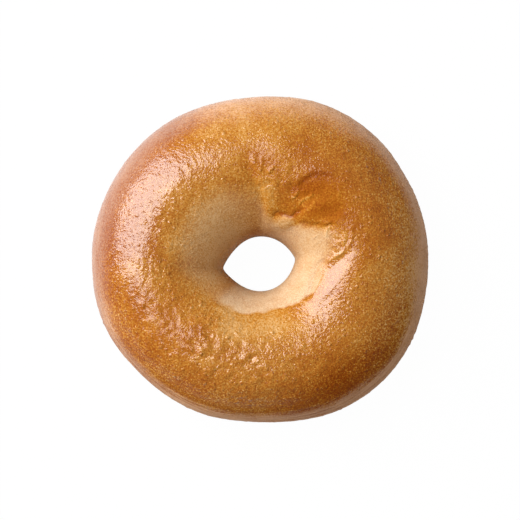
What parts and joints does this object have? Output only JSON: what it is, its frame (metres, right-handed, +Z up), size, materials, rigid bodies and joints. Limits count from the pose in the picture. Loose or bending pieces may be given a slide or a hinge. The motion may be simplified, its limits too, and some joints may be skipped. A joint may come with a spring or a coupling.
{
  "type": "bagel",
  "caption": "Plain golden bagel: a plump ring of boiled and baked dough with an off-round hole, a joining crease and a flat base.",
  "frame": {"origin": "on the surface that the bagel lies on, under the middle of its box", "axes": "+Z up through the hole, +X to the side of the hole's blunter corner, +Y across the joining crease"},
  "size_m": [0.1106, 0.1074, 0.0383],
  "materials": {
    "crust": null
  },
  "bodies": {
    "root": {"bagel": "crust"}
  },
  "joints": []
}
